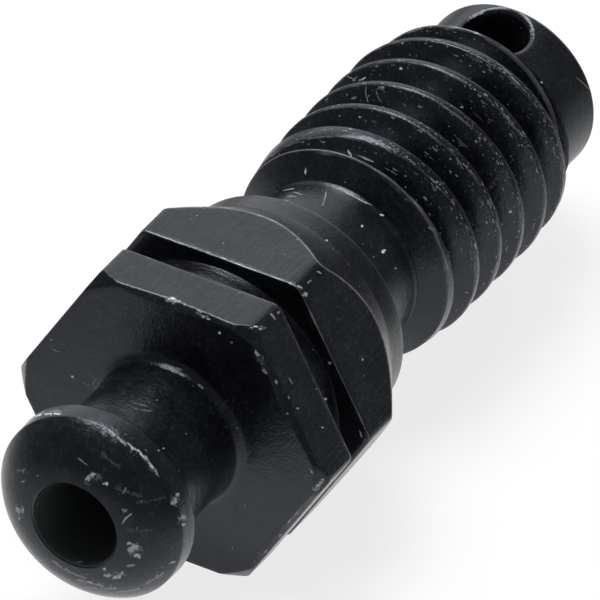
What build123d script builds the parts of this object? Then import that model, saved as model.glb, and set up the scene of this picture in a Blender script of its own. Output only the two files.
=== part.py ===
"""Bleeder screw: one turned piece with a hose nipple, a grooved hexagon, a relief neck, a coarse
thread and a drilled tip.

Millimetres. The screw lies on one flat of its hexagon. +X runs along its axis from the nipple to the
tip, +Z is up, and the origin is on the axis in the plane of the shoulder behind the hexagon, where the
thread side begins. Every form is drawn on the turning axis, Z, with X towards the upper flat, and the
screw is laid down at the end.
"""
import os
from math import cos, pi, radians, tan

from build123d import *

# Right-handed coarse thread, 5/16 inch with 18 threads to the inch
THREAD_DIAMETER = 7.82
THREAD_PITCH = 1.411
THREAD_ANGLE = 60
CREST_WIDTH = 0.24
ROOT_WIDTH = 0.18
THREAD_START_ANGLE = -24

# Relief neck, turned below the thread's root, and the ends of the threaded length, turned below its crest
RELIEF_LENGTH = 2.87
RELIEF_BELOW_ROOT = 0.19
RELIEF_FILLET = 0.35
THREADED_LENGTH = 8.93
LEAD_BELOW_CREST = 0.21
LEAD_CHAMFER_LENGTH = 0.48
LEAD_TAPER_LENGTH = 1.35
END_BELOW_CREST = 0.28
END_CHAMFER_LENGTH = 0.48
END_TAPER_LENGTH = 1.50

# Plain tip, turned below the thread's root, with its cross-hole and its cone seat
TIP_BELOW_ROOT = 0.06
TIP_LENGTH = 2.08
SEAT_ANGLE = 90
SEAT_END_DIAMETER = 2.40
SEAT_EDGE_BREAK = 0.08
CROSS_HOLE_DIAMETER = 2.12
CROSS_HOLE_FROM_SEAT = 1.28

# Hexagon, 3/8 inch across its flats, in two lands with a turned groove between them
ACROSS_FLATS = 9.525
CORNER_ROUNDING = 0.24
FRONT_LAND_LENGTH = 1.73
FRONT_EDGE_BREAK = 0.12
FRONT_TURNED_DIAMETER = 10.20
FRONT_TURNED_ANGLE = 45
GROOVE_LENGTH = 1.11
GROOVE_DIAMETER = 8.70
GROOVE_CORNER_BREAK = 0.10
REAR_LAND_LENGTH = 2.60
REAR_CHAMFER_ANGLE = 30

# Collar between the hexagon and the shoulder
COLLAR_DIAMETER = 8.24
SHOULDER_DIAMETER = 8.10
COLLAR_LENGTH = 0.90
SHOULDER_EDGE_BREAK = 0.08

# Hose nipple: nose, bead, neck and bore
NIPPLE_LENGTH = 5.79
NOSE_LENGTH = 1.09
NOSE_BULGE = 0.25
BEAD_FRONT_DIAMETER = 6.42
BEAD_DIAMETER = 6.46
BEAD_LAND_LENGTH = 0.70
BEAD_BACK_LENGTH = 0.68
BEAD_EDGE_ROUNDING = 0.10
NECK_DIAMETER = 4.92
NECK_FILLET = 0.35
BORE_DIAMETER = 2.92
BORE_MOUTH_BREAK = 0.06
BORE_PAST_CROSS_HOLE = 0.30
DRILL_POINT_ANGLE = 118

# How far a cutting form runs past the metal, and how close two rings are that count as one
OVERRUN = 1.0
SAME_RING = 0.001

# Radii worked out from the sizes above
half_flats = ACROSS_FLATS / 2
corner_radius = half_flats / cos(pi / 6)
thread_radius = THREAD_DIAMETER / 2
flank_slope = tan(radians(THREAD_ANGLE / 2))
groove_half_width = (THREAD_PITCH - CREST_WIDTH) / 2
root_radius = thread_radius - (groove_half_width - ROOT_WIDTH / 2) / flank_slope
lead_radius = thread_radius - LEAD_BELOW_CREST
end_radius = thread_radius - END_BELOW_CREST
relief_radius = root_radius - RELIEF_BELOW_ROOT
tip_radius = root_radius - TIP_BELOW_ROOT
collar_radius = COLLAR_DIAMETER / 2
shoulder_radius = SHOULDER_DIAMETER / 2
bead_radius = BEAD_DIAMETER / 2
neck_radius = NECK_DIAMETER / 2
bore_radius = BORE_DIAMETER / 2
mouth_radius = bore_radius + BORE_MOUTH_BREAK

# Places along the axis, counted from the shoulder
shoulder = 0
collar_start = shoulder - COLLAR_LENGTH
rear_slope = tan(radians(REAR_CHAMFER_ANGLE))
rear_land_end = collar_start - (half_flats - collar_radius) / rear_slope
groove_end = rear_land_end - REAR_LAND_LENGTH
groove_start = groove_end - GROOVE_LENGTH
face = groove_start - FRONT_LAND_LENGTH
mouth = face - NIPPLE_LENGTH
bead_start = mouth + NOSE_LENGTH
bead_end = bead_start + BEAD_LAND_LENGTH
neck_start = bead_end + BEAD_BACK_LENGTH
thread_start = shoulder + RELIEF_LENGTH
thread_end = thread_start + THREADED_LENGTH
seat_edge = thread_end + TIP_LENGTH
seat_end = seat_edge + (tip_radius - SEAT_END_DIAMETER / 2) / tan(radians(SEAT_ANGLE / 2))
cross_hole = seat_edge - CROSS_HOLE_FROM_SEAT
bore_end = cross_hole + BORE_PAST_CROSS_HOLE
drill_tip = bore_end + bore_radius / tan(radians(DRILL_POINT_ANGLE / 2))


def turned_ring(*corners):
    """Ring around the axis whose section has these (radius, place) corners."""
    return revolve(Plane.XZ * make_face(Polyline(*corners, close=True)), Axis.Z)


def turned(*corners):
    """Solid of revolution whose outline has these (radius, place) corners, from end to end."""
    (_, low), (_, high) = corners[0], corners[-1]
    return turned_ring(*dict.fromkeys([(0, low), *corners, (0, high)]))


def ring(solid, radius, place):
    """Circular edges of a solid that have this radius and lie at this place along the axis."""
    circles = solid.edges().filter_by(GeomType.CIRCLE)
    level = circles.filter_by(lambda edge: abs(edge.arc_center.Z - place) < SAME_RING)
    return level.filter_by(lambda edge: abs(edge.radius - radius) < SAME_RING)


def nipple():
    """Hose nipple: a rounded nose, a narrow bead and a neck that runs into the hexagon's face."""
    front = BEAD_FRONT_DIAMETER / 2
    chord = Vector(front - mouth_radius, bead_start - mouth)
    middle = Vector((front + mouth_radius) / 2, (bead_start + mouth) / 2)
    crown = middle + Vector(chord.Y, -chord.X).normalized() * NOSE_BULGE
    nose = ThreePointArc((mouth_radius, mouth), (crown.X, crown.Y), (front, bead_start))
    rest = Polyline(
        (front, bead_start), (bead_radius, bead_end), (neck_radius, neck_start), (neck_radius, face),
        (0, face), (0, mouth), (mouth_radius, mouth),
    )
    solid = revolve(Plane.XZ * make_face(nose + rest), Axis.Z)
    bead_edges = ring(solid, front, bead_start) + ring(solid, bead_radius, bead_end)
    solid = fillet(bead_edges, BEAD_EDGE_ROUNDING)
    return fillet(ring(solid, neck_radius, neck_start), NECK_FILLET)


def hexagon():
    """Hexagonal bar with rounded corners, turned at both ends, and the groove that parts its two lands."""
    sharp = RegularPolygon(half_flats, 6, major_radius=False, rotation=30)
    outline = fillet(sharp.vertices(), CORNER_ROUNDING)
    bar = extrude(Plane.XY.offset(face) * outline, collar_start - face)
    bar = chamfer(bar.faces().sort_by(Axis.Z)[0].edges(), FRONT_EDGE_BREAK)
    front = FRONT_TURNED_DIAMETER / 2
    stock = corner_radius + OVERRUN
    front_turned = face + (stock - front) * tan(radians(FRONT_TURNED_ANGLE))
    rear_turned = rear_land_end - (stock - half_flats) / rear_slope
    turning = turned(
        (front, face), (stock, front_turned), (stock, rear_turned), (collar_radius, collar_start),
    )
    floor = GROOVE_DIAMETER / 2
    wall = floor + GROOVE_CORNER_BREAK
    groove = turned_ring(
        (stock, groove_start), (wall, groove_start), (floor, groove_start + GROOVE_CORNER_BREAK),
        (floor, groove_end - GROOVE_CORNER_BREAK), (wall, groove_end), (stock, groove_end),
    )
    return (bar & turning) - groove


def collar():
    """Short collar behind the hexagon, tapering slightly to the shoulder."""
    solid = turned((collar_radius, collar_start), (shoulder_radius, shoulder))
    return chamfer(ring(solid, shoulder_radius, shoulder), SHOULDER_EDGE_BREAK)


def shank():
    """Relief neck, thread and tip. The thread is cut in a plain bar, which is then turned to its outline."""
    lead = thread_start + LEAD_CHAMFER_LENGTH
    end = thread_end - END_CHAMFER_LENGTH
    turning = turned(
        (relief_radius, shoulder), (relief_radius, thread_start), (lead_radius, lead),
        (thread_radius, lead + LEAD_TAPER_LENGTH), (thread_radius, end - END_TAPER_LENGTH),
        (end_radius, end), (tip_radius, thread_end), (tip_radius, seat_edge),
        (SEAT_END_DIAMETER / 2, seat_end),
    )
    turning = fillet(ring(turning, relief_radius, thread_start), RELIEF_FILLET)
    turning = chamfer(ring(turning, tip_radius, seat_edge), SEAT_EDGE_BREAK)
    bar = turned((thread_radius, shoulder - OVERRUN), (thread_radius, seat_end + OVERRUN))
    return (bar - thread_groove()) & turning


def thread_groove():
    """Helical groove between the thread's crests. It starts over the relief neck and ends over the tip."""
    root, top = ROOT_WIDTH / 2, groove_half_width
    over = CREST_WIDTH / 4
    outer = thread_radius + over / flank_slope
    start, end = thread_start - top, thread_end + top
    path = Helix(THREAD_PITCH, end - start, root_radius, center=(0, 0, start))
    section = make_face(Polyline(
        (root_radius, start - root), (outer, start - top - over), (outer, start + top + over),
        (root_radius, start + root), close=True,
    ))
    return Rotation(0, 0, THREAD_START_ANGLE) * sweep(Plane.XZ * section, path, is_frenet=True)


def bore():
    """Blind hole drilled from the nose, with its broken mouth edge and the cone that the drill leaves."""
    return turned(
        (mouth_radius + OVERRUN, mouth - OVERRUN), (bore_radius, mouth + BORE_MOUTH_BREAK),
        (bore_radius, bore_end), (0, drill_tip),
    )


def cross_drilling():
    """Hole across the tip, square to the upper flat, which meets the bore."""
    length = 2 * (tip_radius + OVERRUN)
    return Location((0, 0, cross_hole), (0, 90, 0)) * Cylinder(CROSS_HOLE_DIAMETER / 2, length)


def bleeder_screw():
    """The whole screw, laid down with its tip towards +X and a flat upwards."""
    screw = hexagon() + nipple() + collar() + shank()
    screw = fillet(ring(screw, neck_radius, face), NECK_FILLET)
    screw = fillet(ring(screw, relief_radius, shoulder), RELIEF_FILLET)
    screw = screw - bore() - cross_drilling()
    return Plane(origin=(0, 0, 0), x_dir=(0, 0, 1), z_dir=(1, 0, 0)) * screw


os.makedirs("parts", exist_ok=True)
screw = bleeder_screw()
export_step(screw, "parts/bleeder_screw.step")
print("volume", round(screw.volume, 2), "mm3, valid", screw.is_valid)
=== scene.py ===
"""Looks of the bleeder screw: its turned and threaded surfaces, its dark finish, the studio and the camera."""
import math
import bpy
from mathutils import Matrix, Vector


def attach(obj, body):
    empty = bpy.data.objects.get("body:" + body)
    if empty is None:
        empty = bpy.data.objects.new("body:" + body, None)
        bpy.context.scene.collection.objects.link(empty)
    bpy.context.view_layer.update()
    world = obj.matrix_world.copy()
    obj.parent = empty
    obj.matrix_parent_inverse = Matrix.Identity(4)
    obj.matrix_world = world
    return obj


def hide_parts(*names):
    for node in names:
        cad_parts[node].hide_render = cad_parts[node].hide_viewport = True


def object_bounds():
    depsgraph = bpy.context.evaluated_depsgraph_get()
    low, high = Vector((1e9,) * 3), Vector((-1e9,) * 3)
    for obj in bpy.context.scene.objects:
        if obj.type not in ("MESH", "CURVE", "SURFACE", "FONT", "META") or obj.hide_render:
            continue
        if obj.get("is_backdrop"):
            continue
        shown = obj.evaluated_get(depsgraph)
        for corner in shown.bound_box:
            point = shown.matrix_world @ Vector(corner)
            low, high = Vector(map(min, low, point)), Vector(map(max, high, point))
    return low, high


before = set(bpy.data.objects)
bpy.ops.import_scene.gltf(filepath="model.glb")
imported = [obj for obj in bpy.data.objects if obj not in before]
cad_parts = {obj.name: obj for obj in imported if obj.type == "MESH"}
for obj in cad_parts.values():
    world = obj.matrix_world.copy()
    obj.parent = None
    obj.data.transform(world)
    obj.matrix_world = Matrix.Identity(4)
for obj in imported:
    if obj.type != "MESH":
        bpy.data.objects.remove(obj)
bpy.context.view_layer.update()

from types import SimpleNamespace

import bmesh
import bpy
import numpy as np
from bpy.props import FloatProperty, FloatVectorProperty, PointerProperty
from mathutils import Matrix, Vector
from mathutils.bvhtree import BVHTree

bl_info = {
    "name": "Bleeder Screw",
    "version": (1, 0, 0),
    "blender": (4, 5, 0),
    "location": "View3D > Sidebar > Bleeder Screw",
    "description": "Builds a bleeder screw with its hose nipple, hexagon, thread and drilled tip",
    "category": "Object",
}

MM = 0.001
NODE = "bleeder_screw"
FINISH = "blackened_finish"
SOLID_PIECES = ("nipple", "hexagon", "thread", "tip")

# Blind end of the bore: its length past the cross-hole's middle and half the angle of its point
BORE_PAST_HOLE = 0.30 * MM
DRILL_HALF_ANGLE = math.radians(59)

# The hexagon's corner nearest the camera, in degrees from the upper flat, and how close to the hexagon's outline
# a point has to be to lie on a drawn flat
NEAR_CORNER = 30
ON_OUTLINE = 1e-7

# Sections: rounding that one step of an arc covers, most of a side that an arc takes, part of its edge wear and
# painted edge highlight that an arc loses towards its ends, and that of a straight run as a part of that at its
# ends
ARC_STEP = 0.06 * MM
SIDE_SHARE = 0.48
ARC_WEAR_AND_HIGHLIGHT_LOSS = 0.6
RUN_WEAR_AND_HIGHLIGHT = 0.3

# Meshes: points this close are one, shorter edges are dropped, and sharper angles stay sharp
WELD = 2e-8
SHORTEST_EDGE = 1e-8
SHARP_ANGLE = math.radians(40)

# Thread: turns of the groove that are looked at, bands at its two ends, slopes beside a crest's edge, distance
# from a groove's middle to a crest's edge and the rounds that solve it, steps up a flank, and the edge wear and
# painted edge highlight of the edges, slopes, crests and bands
TURNS = range(-5, 5)
EDGE_BAND = 0.06 * MM
CREST_BEVEL = 0.035 * MM
CREST_EDGE_RANGE = (0.03 * MM, 0.64 * MM)
CREST_EDGE_ROUNDS = 8
FLANK_STEPS = (0.0, 0.33, 0.66)
EDGE_WEAR_AND_HIGHLIGHT, BEVEL_WEAR_AND_HIGHLIGHT, CREST_WEAR_AND_HIGHLIGHT, BAND_WEAR_AND_HIGHLIGHT = 0.66, 0.30, 0.12, 0.7

# Run-in of the first groove, in degrees: its start and its length
RUN_IN_START = -3 * 360 - 125
RUN_IN_LENGTH = 184

# Marks: points along and across a patch, noise in its length and width, height over the surface, and how much
# a surface seen on edge still counts as facing the camera
PATCH_LONG, PATCH_WIDE = 9, 3
LENGTH_NOISE, WIDTH_NOISE = 0.25, 0.5
MARK_LIFT = 0.003 * MM
LEAST_FACING = 0.2

# Picture: its size and middle in pixels, the camera's sensor, and its right, up and backward directions
PICTURE = 600
PICTURE_MIDDLE = 299.5
SENSOR_MM = 36
ACROSS = np.array((0.4971660, -0.8670651, 0.0320013))
UPWARD = np.array((0.4988791, 0.3158391, 0.8070721))
BACK = np.array((-0.7098913, -0.3852840, 0.5895851))

# Studio: half the floor's width, the bright side, and the lamp's place and width
FLOOR_REACH = 0.9
KEY_SIDE = Vector((0.78, 0.50, 0.38)).normalized()
LAMP_PLACE = (0.09, 0.18, 0.57)
LAMP_WIDTH = 0.34


def length(name, description, millimetres):
    """A length property, given in millimetres and kept in metres."""
    return FloatProperty(
        name=name, description=description, default=millimetres * MM, min=0.0, precision=5, unit="LENGTH"
    )


def share(name, description, value):
    """A property between nought and one."""
    return FloatProperty(name=name, description=description, default=value, min=0.0, max=1.0, subtype="FACTOR")


def colour(name, description, value):
    """A linear colour property."""
    return FloatVectorProperty(
        name=name, description=description, default=value, size=3, min=0.0, max=1.0, subtype="COLOR"
    )


class BleederNippleSizes(bpy.types.PropertyGroup):
    """Sizes of the hose nipple and of the bore that starts in it."""

    nipple: length("Nipple length", "From the hexagon's face to the mouth", 5.79)
    nose: length("Nose length", "From the mouth to the bead", 1.09)
    bulge: length("Nose bulge", "How far the nose swells past a straight cone", 0.25)
    bead_front: length("Bead front diameter", "Bead diameter at its nose side", 6.42)
    bead: length("Bead diameter", "Bead diameter at its neck side", 6.46)
    bead_land: length("Bead land", "Width of the bead's crown", 0.70)
    bead_back: length("Bead back", "Length of the slope behind the bead", 0.68)
    bead_rounding: length("Bead rounding", "Rounding of the bead's two edges", 0.09)
    neck: length("Neck diameter", "Diameter between bead and hexagon", 4.92)
    neck_fillet: length("Neck fillet", "Rounding at both ends of the neck", 0.35)
    bore: length("Bore diameter", "Diameter of the drilled hole", 2.92)
    mouth_break: length("Mouth break", "Broken edge of the mouth", 0.06)


class BleederHexagonSizes(bpy.types.PropertyGroup):
    """Sizes of the grooved hexagon and its collar."""

    across_flats: length("Across flats", "Width of the hexagon over two flats", 9.518)
    corner_rounding: length("Corner rounding", "Rounding along the six corners", 0.24)
    front_land: length("Front land", "Length of the land at the nipple side", 1.73)
    front_turned: length("Front turned diameter", "Where the corners are turned away at the face", 10.20)
    groove: length("Groove width", "Width of the turned groove", 1.11)
    groove_floor: length("Groove floor diameter", "Diameter at the bottom of the groove", 8.70)
    groove_break: length("Groove corner break", "Sloped corner at the groove's floor", 0.10)
    rear_land: length("Rear land", "Length of the land at the thread side", 2.60)
    rear_slope: FloatProperty(
        name="Rear slope", description="Slope of the turned cone behind the rear land",
        default=math.radians(30), subtype="ANGLE"
    )
    collar: length("Collar diameter", "Collar diameter at the hexagon", 8.24)
    shoulder: length("Shoulder diameter", "Collar diameter at the shoulder", 8.10)
    collar_length: length("Collar length", "Length of the collar", 0.90)
    edge: length("Edge rounding", "Rounding of the turned edges", 0.035)


class BleederShankSizes(bpy.types.PropertyGroup):
    """Sizes of the relief neck, the thread and the drilled tip."""

    thread: length("Thread diameter", "Diameter over the crests", 7.82)
    pitch: length("Thread pitch", "Distance from crest to crest", 1.411)
    crest: length("Crest width", "Width of the flat crest", 0.24)
    root: length("Root width", "Width of the flat root", 0.18)
    flank_angle: FloatProperty(
        name="Thread angle", description="Angle between two flanks", default=math.radians(60), subtype="ANGLE"
    )
    groove_place: length("Groove place", "Place of one thread groove at the upper flat", 8.022)
    relief: length("Relief diameter", "Diameter of the relief neck", 5.72)
    relief_length: length("Relief length", "From the shoulder to the thread", 2.87)
    relief_fillet: length("Relief fillet", "Rounding at both ends of the relief neck", 0.35)
    threaded: length("Threaded length", "Length of the thread with its chamfers", 8.93)
    lead: length("Lead diameter", "Diameter where the thread begins", 7.40)
    lead_chamfer: length("Lead chamfer", "Length of the first chamfer", 0.48)
    lead_taper: length("Lead taper", "Length over which the crests reach full height", 1.35)
    end: length("End diameter", "Diameter where the thread ends", 7.26)
    end_chamfer: length("End chamfer", "Length of the last chamfer", 0.48)
    end_taper: length("End taper", "Length over which the crests come down", 1.50)
    tip: length("Tip diameter", "Diameter of the plain tip", 5.98)
    tip_length: length("Tip length", "From the thread to the seat's edge", 2.08)
    seat_end: length("Seat end diameter", "Diameter of the seat's flat end", 2.40)
    seat_break: length("Seat edge break", "Broken edge between tip and seat", 0.08)
    cross_hole: length("Cross-hole diameter", "Diameter of the hole across the tip", 2.12)
    cross_hole_back: length("Cross-hole from seat", "From the cross-hole to the seat's edge", 1.28)


class BleederFinish(bpy.types.PropertyGroup):
    """Colours of the dark finish and of what shows through it."""

    black: colour("Black finish", "Darkest tone of the finish", (0.0022, 0.0024, 0.0034))
    grey: colour("Grey finish", "Lightest tone of the finish", (0.0080, 0.0085, 0.0110))
    # Colour of the rubbed edges, which also serves as the painted edge highlight
    worn_and_highlit: colour("Worn edge", "Tone where handling has thinned the finish", (0.40, 0.41, 0.43))
    dust: colour("Dust", "Tone of the dust on the finish", (0.20, 0.22, 0.25))
    bore: colour("Bore", "Tone of the drilled bore, where the finish is thin", (0.125, 0.140, 0.132))
    # Also the colour of the painted highlights among the marks
    chip: colour("Chip", "Tone of bare metal, dust and fibres in the marks", (0.80, 0.82, 0.84))
    roughness: share("Roughness", "Roughness of the plain finish", 0.21)


class BleederStage(bpy.types.PropertyGroup):
    """The floor, the lights and the camera."""

    floor_tone: share("Floor tone", "Grey level of the floor", 0.90)
    floor_glow: share("Floor glow", "How much of the floor shows as plain white", 0.80)
    lens: FloatProperty(name="Focal length", description="Focal length in millimetres", default=1583.9, min=1.0)
    distance: FloatProperty(
        name="Camera distance", description="From the camera to the aim point", default=0.808, unit="LENGTH"
    )
    lamp_power: FloatProperty(
        name="Lamp power", description="Power of the large soft lamp", default=4.0, unit="POWER"
    )
    aim: FloatVectorProperty(
        name="Aim", description="Point in the middle of the picture",
        default=(-0.0033787, -0.0021691, 0.0032580), size=3, subtype="XYZ"
    )


GROUPS = {
    "bleeder_nipple": BleederNippleSizes,
    "bleeder_hexagon": BleederHexagonSizes,
    "bleeder_shank": BleederShankSizes,
    "bleeder_finish": BleederFinish,
    "bleeder_stage": BleederStage,
}


def group(name):
    """One of the screw's property groups."""
    return getattr(bpy.context.scene, "bleeder_" + name)


def places():
    """Places along the axis, counted from the shoulder, worked out from the sizes of the three groups."""
    nipple, hexagon, shank = map(group, ("nipple", "hexagon", "shank"))
    at = SimpleNamespace(collar_start=-hexagon.collar_length)
    rear_depth = (hexagon.across_flats - hexagon.collar) / 2
    at.rear_land_end = at.collar_start - rear_depth / math.tan(hexagon.rear_slope)
    at.groove_end = at.rear_land_end - hexagon.rear_land
    at.groove_start = at.groove_end - hexagon.groove
    at.face = at.groove_start - hexagon.front_land
    at.mouth = at.face - nipple.nipple
    at.bead_start = at.mouth + nipple.nose
    at.bead_end = at.bead_start + nipple.bead_land
    at.neck_start = at.bead_end + nipple.bead_back
    at.neck_joint = at.face - 2 * nipple.neck_fillet
    at.relief_joint = 2 * shank.relief_fillet
    at.thread_start = shank.relief_length
    at.lead = at.thread_start + shank.lead_chamfer
    at.thread_end = at.thread_start + shank.threaded
    at.end = at.thread_end - shank.end_chamfer
    at.seat_edge = at.thread_end + shank.tip_length
    at.seat_end = at.seat_edge + (shank.tip - shank.seat_end) / 2
    at.cross_hole = at.seat_edge - shank.cross_hole_back
    at.bore_end = at.cross_hole + BORE_PAST_HOLE
    at.drill_tip = at.bore_end + nipple.bore / 2 / math.tan(DRILL_HALF_ANGLE)
    return at


def columns():
    """Angles of the columns round the axis, in degrees from the upper flat: close together at the hexagon's
    corners, even across its flats, with the first one repeated at the end so that the seam closes."""
    near_corner = np.array([28.74, 29.16, 29.58])
    sector = np.concatenate([[-30.0], -near_corner[::-1], np.linspace(-27.6, 27.6, 43), near_corner])
    angles = (sector[None, :] + np.arange(0, 360, 60)[:, None]).ravel()
    angles = np.sort((angles + 180) % 360 - 180)
    return np.append(angles, 180.0)


THETA = columns()


def smooth_step(value):
    """Rises from nought to one with level ends: 3t^2 - 2t^3."""
    t = np.clip(value, 0.0, 1.0)
    return t * t * (3 - 2 * t)


def arc(before, here, after, rounding):
    """Circular arc tangent to both sides of a corner, as pairs of t from nought to one and the point there:
    middle + (sin((1 - t) turn) start + sin(t turn) end) / sin(turn)."""
    long_before, long_after = np.linalg.norm(before - here, axis=0), np.linalg.norm(after - here, axis=0)
    u, v = (before - here) / long_before, (after - here) / long_after
    opening = np.arccos(np.clip((u * v).sum(axis=0), -1, 1))
    reach = np.minimum(rounding / np.tan(opening / 2), SIDE_SHARE * np.minimum(long_before, long_after))
    radius = reach * np.tan(opening / 2)
    middle = here + (u + v) / np.linalg.norm(u + v, axis=0) * radius / np.sin(opening / 2)
    start, end = here + u * reach - middle, here + v * reach - middle
    turn = np.pi - opening
    steps = max(2, int(np.ceil(rounding / ARC_STEP)))
    for t in (k / steps for k in range(steps + 1)):
        yield t, middle + (np.sin((1 - t) * turn) * start + np.sin(t * turn) * end) / np.sin(turn)


def section(*stations, closed=False):
    """Rows of points along a section whose corners are stations (x, r, rounding, wear, steps), where the wear is
    edge wear with painted edge highlight. x and r may change from column to column. A corner with a rounding
    becomes an arc, and the straight run after a station is divided evenly into its number of steps. Gives the
    arrays x, r and wear, each rows by columns."""
    corners = [np.stack(np.broadcast_arrays(x, r, THETA)[:2]) for x, r, *_ in stations]
    rows = []
    for i, (_, _, rounding, worn_and_highlit, steps) in enumerate(stations):
        if rounding:
            bend = arc(corners[i - 1], corners[i], corners[(i + 1) % len(corners)], rounding)
            rows += [[point, worn_and_highlit * (1 - abs(2 * t - 1) * ARC_WEAR_AND_HIGHLIGHT_LOSS), 1] for t, point in bend]
        else:
            rows.append([corners[i], worn_and_highlit, 1])
        rows[-1][2] = steps
    full = []
    for (here, worn_and_highlit, steps), (there, next_worn, _) in zip(rows, rows[1:] + rows[:1] * closed):
        full.append((here, worn_and_highlit))
        for t in (k / steps for k in range(1, steps)):
            full.append((here * (1 - t) + there * t, min(worn_and_highlit, next_worn) * RUN_WEAR_AND_HIGHLIGHT))
    full.append(full[0] if closed else rows[-1][:2])
    points, wear = zip(*full)
    x, r = np.stack(points, axis=1)
    return x, r, np.broadcast_to(np.array(wear)[:, None], x.shape)


def grid_mesh(name, points, flipped=False):
    """Mesh whose faces join neighbouring points of a grid, or of a stack of grids. Flipped faces look the other
    way."""
    index = np.arange(points[..., 0].size).reshape(points.shape[:-1])
    a, b, c, d = index[..., :-1, :-1], index[..., 1:, :-1], index[..., 1:, 1:], index[..., :-1, 1:]
    faces = np.stack([a, d, c, b] if flipped else [a, b, c, d], axis=-1).reshape(-1, 4)
    mesh = bpy.data.meshes.new(name)
    mesh.from_pydata(points.reshape(-1, 3), [], faces)
    return mesh


def give(mesh, **attributes):
    """Gives a mesh named numbers, one for each of its points."""
    for key, values in attributes.items():
        mesh.attributes.new(key, "FLOAT", "POINT").data.foreach_set("value", np.ravel(values))


def linked(name, data):
    """Puts an object with this mesh, lamp or camera into the scene."""
    thing = bpy.data.objects.new(name, data)
    bpy.context.scene.collection.objects.link(thing)
    return thing


def applied(piece, other, kind, **settings):
    """Mesh of a piece after one modifier that uses another object. Both objects are taken away."""
    modifier = piece.modifiers.new(kind, kind)
    for key, value in settings.items():
        setattr(modifier, key, value)
    graph = bpy.context.evaluated_depsgraph_get()
    mesh = bpy.data.meshes.new_from_object(piece.evaluated_get(graph))
    bpy.data.objects.remove(piece)
    bpy.data.objects.remove(other)
    return mesh


def turned_point(x, r, degrees):
    """Point of a turned surface at an angle a from the upper flat: (x, -r sin a, r cos a)."""
    a = np.radians(degrees)
    return np.stack([x, -r * np.sin(a), r * np.cos(a)], axis=-1)


def skin(name, x, r, wear, drawn=0.0):
    """Object from rows by columns of a turned surface. Points that fall together, at poles, at the seam and where
    rows run out, are made one."""
    mesh = grid_mesh(name, turned_point(x, r, THETA), flipped=True)
    give(mesh, wear=wear, drawn=drawn + 0 * x)
    shape = bmesh.new()
    shape.from_mesh(mesh)
    bmesh.ops.remove_doubles(shape, verts=shape.verts, dist=WELD)
    bmesh.ops.dissolve_degenerate(shape, edges=shape.edges, dist=SHORTEST_EDGE)
    shape.to_mesh(mesh)
    shape.free()
    return placed(name, mesh)


def placed(name, mesh, sharp=SHARP_ANGLE):
    """Puts a finished mesh into the scene in the dark finish, smooth but for its sharp edges."""
    mesh.polygons.foreach_set("use_smooth", np.ones(len(mesh.polygons), bool))
    mesh.set_sharp_from_angle(angle=sharp)
    mesh.materials.append(finish_material())
    return linked(name, mesh)


def keep(piece):
    """Makes a piece ride on the part's body and stand for the plain solid."""
    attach(piece, "root")
    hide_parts(NODE)
    return piece


def hexagon_radius(rounding):
    """Radius of a hexagon with rounded corners at each column. Across a flat it is half the width over the cosine
    of the angle from the flat's middle. Near a corner it is the ray's meeting with the corner's arc. The corner
    nearest the camera is knocked rounder than the others."""
    half, corner = group("hexagon").across_flats / 2, math.radians(30)
    knocked, knocked_reach = 0.26 * MM, 24
    offset = np.radians(np.abs((THETA + 30) % 60 - 30))
    flat = half / np.cos(offset)
    gamma = corner - offset
    rounding = rounding + knocked * around(NEAR_CORNER, knocked_reach)
    centre = (half - rounding) / math.cos(corner)
    inside = rounding ** 2 - (centre * np.sin(gamma)) ** 2
    arc_radius = centre * np.cos(gamma) + np.sqrt(np.maximum(inside, 0))
    on_arc = np.arctan2(rounding / 2, centre + rounding * math.cos(corner))
    return np.where(gamma < on_arc, np.minimum(arc_radius, flat), flat)


def around(angle, width):
    """Weight of each column near an angle: one at the angle, nought at width away, with a smooth fall."""
    away = np.abs((THETA - angle + 180) % 360 - 180)
    return smooth_step(1 - away / width)


def turned_shank(x):
    """Radius of the shank's turned outline at each place: straight runs between its corners."""
    shank, at = group("shank"), places()
    corners = [
        (at.relief_joint, shank.relief / 2), (at.thread_start, shank.relief / 2),
        (at.lead, shank.lead / 2), (at.lead + shank.lead_taper, shank.thread / 2),
        (at.end - shank.end_taper, shank.thread / 2), (at.end, shank.end / 2),
        (at.thread_end, shank.tip / 2), (at.seat_edge, shank.tip / 2),
    ]
    return np.interp(x, *np.array(corners).T)


def groove_centre(turn, angle):
    """Place of the thread groove's middle: it moves by one pitch for each turn."""
    shank = group("shank")
    return shank.groove_place + (turn + angle / 360) * shank.pitch


def groove_rise(turn, angle):
    """How far the groove's floor is lifted above the full depth, and the radius at full depth. It is lifted all
    the way before the tool enters, and then less over half a turn until the groove is fully cut."""
    shank = group("shank")
    depth = ((shank.pitch - shank.crest - shank.root) / 2) / math.tan(shank.flank_angle / 2)
    entered = smooth_step((turn * 360 + angle - RUN_IN_START) / RUN_IN_LENGTH)
    return (1 - entered) * depth, shank.thread / 2 - depth


def shank_radius(x, angle):
    """Radius of the threaded shank: the lower of the turned outline and the nearest groove, whose flanks rise at
    the thread's angle from its floor."""
    shank = group("shank")
    turn = np.round((x - groove_centre(0, angle)) / shank.pitch)
    away = np.abs(x - groove_centre(turn, angle))
    lift, floor = groove_rise(turn, angle)
    slope = 1 / math.tan(shank.flank_angle / 2)
    cut = floor + lift + np.maximum(away - shank.root / 2, 0) * slope
    return np.minimum(turned_shank(x), cut)


def crest_edge(turn, angle, side):
    """Distance from a groove's middle to the edge of its crest, where the flank meets the turned outline. It is
    solved by repeating flank distance = (outline radius - floor) / slope."""
    shank = group("shank")
    lift, floor = groove_rise(turn, angle)
    slope = 1 / math.tan(shank.flank_angle / 2)
    middle = groove_centre(turn, angle)
    away = np.full_like(middle, (shank.pitch - shank.crest) / 2)
    for _ in range(CREST_EDGE_ROUNDS):
        away = shank.root / 2 + (turned_shank(middle + side * away) - floor - lift) / slope
        away = np.clip(away, *CREST_EDGE_RANGE)
    return away


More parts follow.
